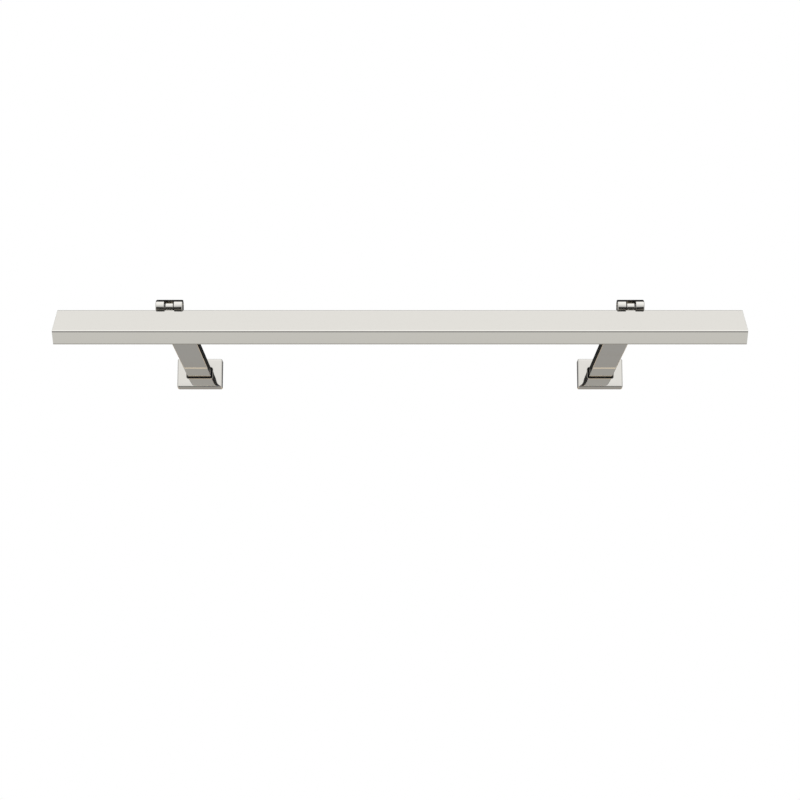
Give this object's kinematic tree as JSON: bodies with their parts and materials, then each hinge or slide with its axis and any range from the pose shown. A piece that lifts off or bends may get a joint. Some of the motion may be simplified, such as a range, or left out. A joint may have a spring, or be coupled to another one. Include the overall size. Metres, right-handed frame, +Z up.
{
  "type": "picture light",
  "caption": "Slim linear wall light with a rectangular polished head that tilts on slotted knuckles at the ends of straight flat arms, each arm standing on a small rectangular wall plate.",
  "frame": {"origin": "on the wall plane, at the centre of the four wall-screw holes, midway between the arms", "axes": "+Z up, +Y into the wall, +X to the right as seen from the room, along the head"},
  "size_m": [0.61, 0.3166, 0.0544],
  "materials": {
    "polished_nickel": "mirror-polished warm nickel plate on brass",
    "nickel_screws": "polished nickel-plated steel",
    "zinc_steel": "bright zinc-plated steel",
    "black_steel": "black-oxide steel",
    "spring_steel": "plain spring steel",
    "black_acetal": "moulded black acetal",
    "bare_aluminium": "mill-finish extruded aluminium",
    "white_tape": "matt white thermal tape",
    "white_board": "white solder mask on an aluminium core",
    "led_phosphor": "yellow phosphor in a white frame",
    "opal_diffuser": "satin opal acrylic",
    "white_nylon": "white nylon",
    "grey_nylon": "grey nylon",
    "black_rubber": "black rubber",
    "lead_sleeve": "matt clear-grey silicone sleeve"
  },
  "bodies": {
    "wall_mount": {"clevis_left": "polished_nickel", "clevis_right": "polished_nickel", "arm_tube_left": "polished_nickel", "arm_tube_right": "polished_nickel", "arm_root_left": "black_steel", "arm_root_right": "black_steel", "cover_plate_left": "polished_nickel", "cover_plate_right": "polished_nickel", "pivot_screws": "nickel_screws", "wall_bracket_left": "zinc_steel", "wall_bracket_right": "zinc_steel", "root_screws": "black_steel", "cover_grub_screws": "black_steel", "spring_washers": "spring_steel", "supply_connector": "grey_nylon", "inlet_grommet": "black_rubber", "arm_lead": "lead_sleeve"},
    "head": {"head_housing": "polished_nickel", "end_cap_left": "polished_nickel", "end_cap_right": "polished_nickel", "end_cap_screws": "nickel_screws", "pivot_lug_left": "polished_nickel", "pivot_lug_right": "polished_nickel", "lug_bushes": "black_acetal", "lug_screws": "black_steel", "heat_spreader": "bare_aluminium", "thermal_tape": "white_tape", "led_board": "white_board", "led_chips": "led_phosphor", "board_screws": "zinc_steel", "board_connector": "white_nylon", "diffuser": "opal_diffuser", "head_lead": "lead_sleeve"}
  },
  "joints": [
    {"name": "head_tilt", "type": "hinge", "parent": "wall_mount", "child": "head", "pos_m": [0, -0.285, 0], "axis": [1, 0, 0], "range_deg": [-45, 45]}
  ]
}
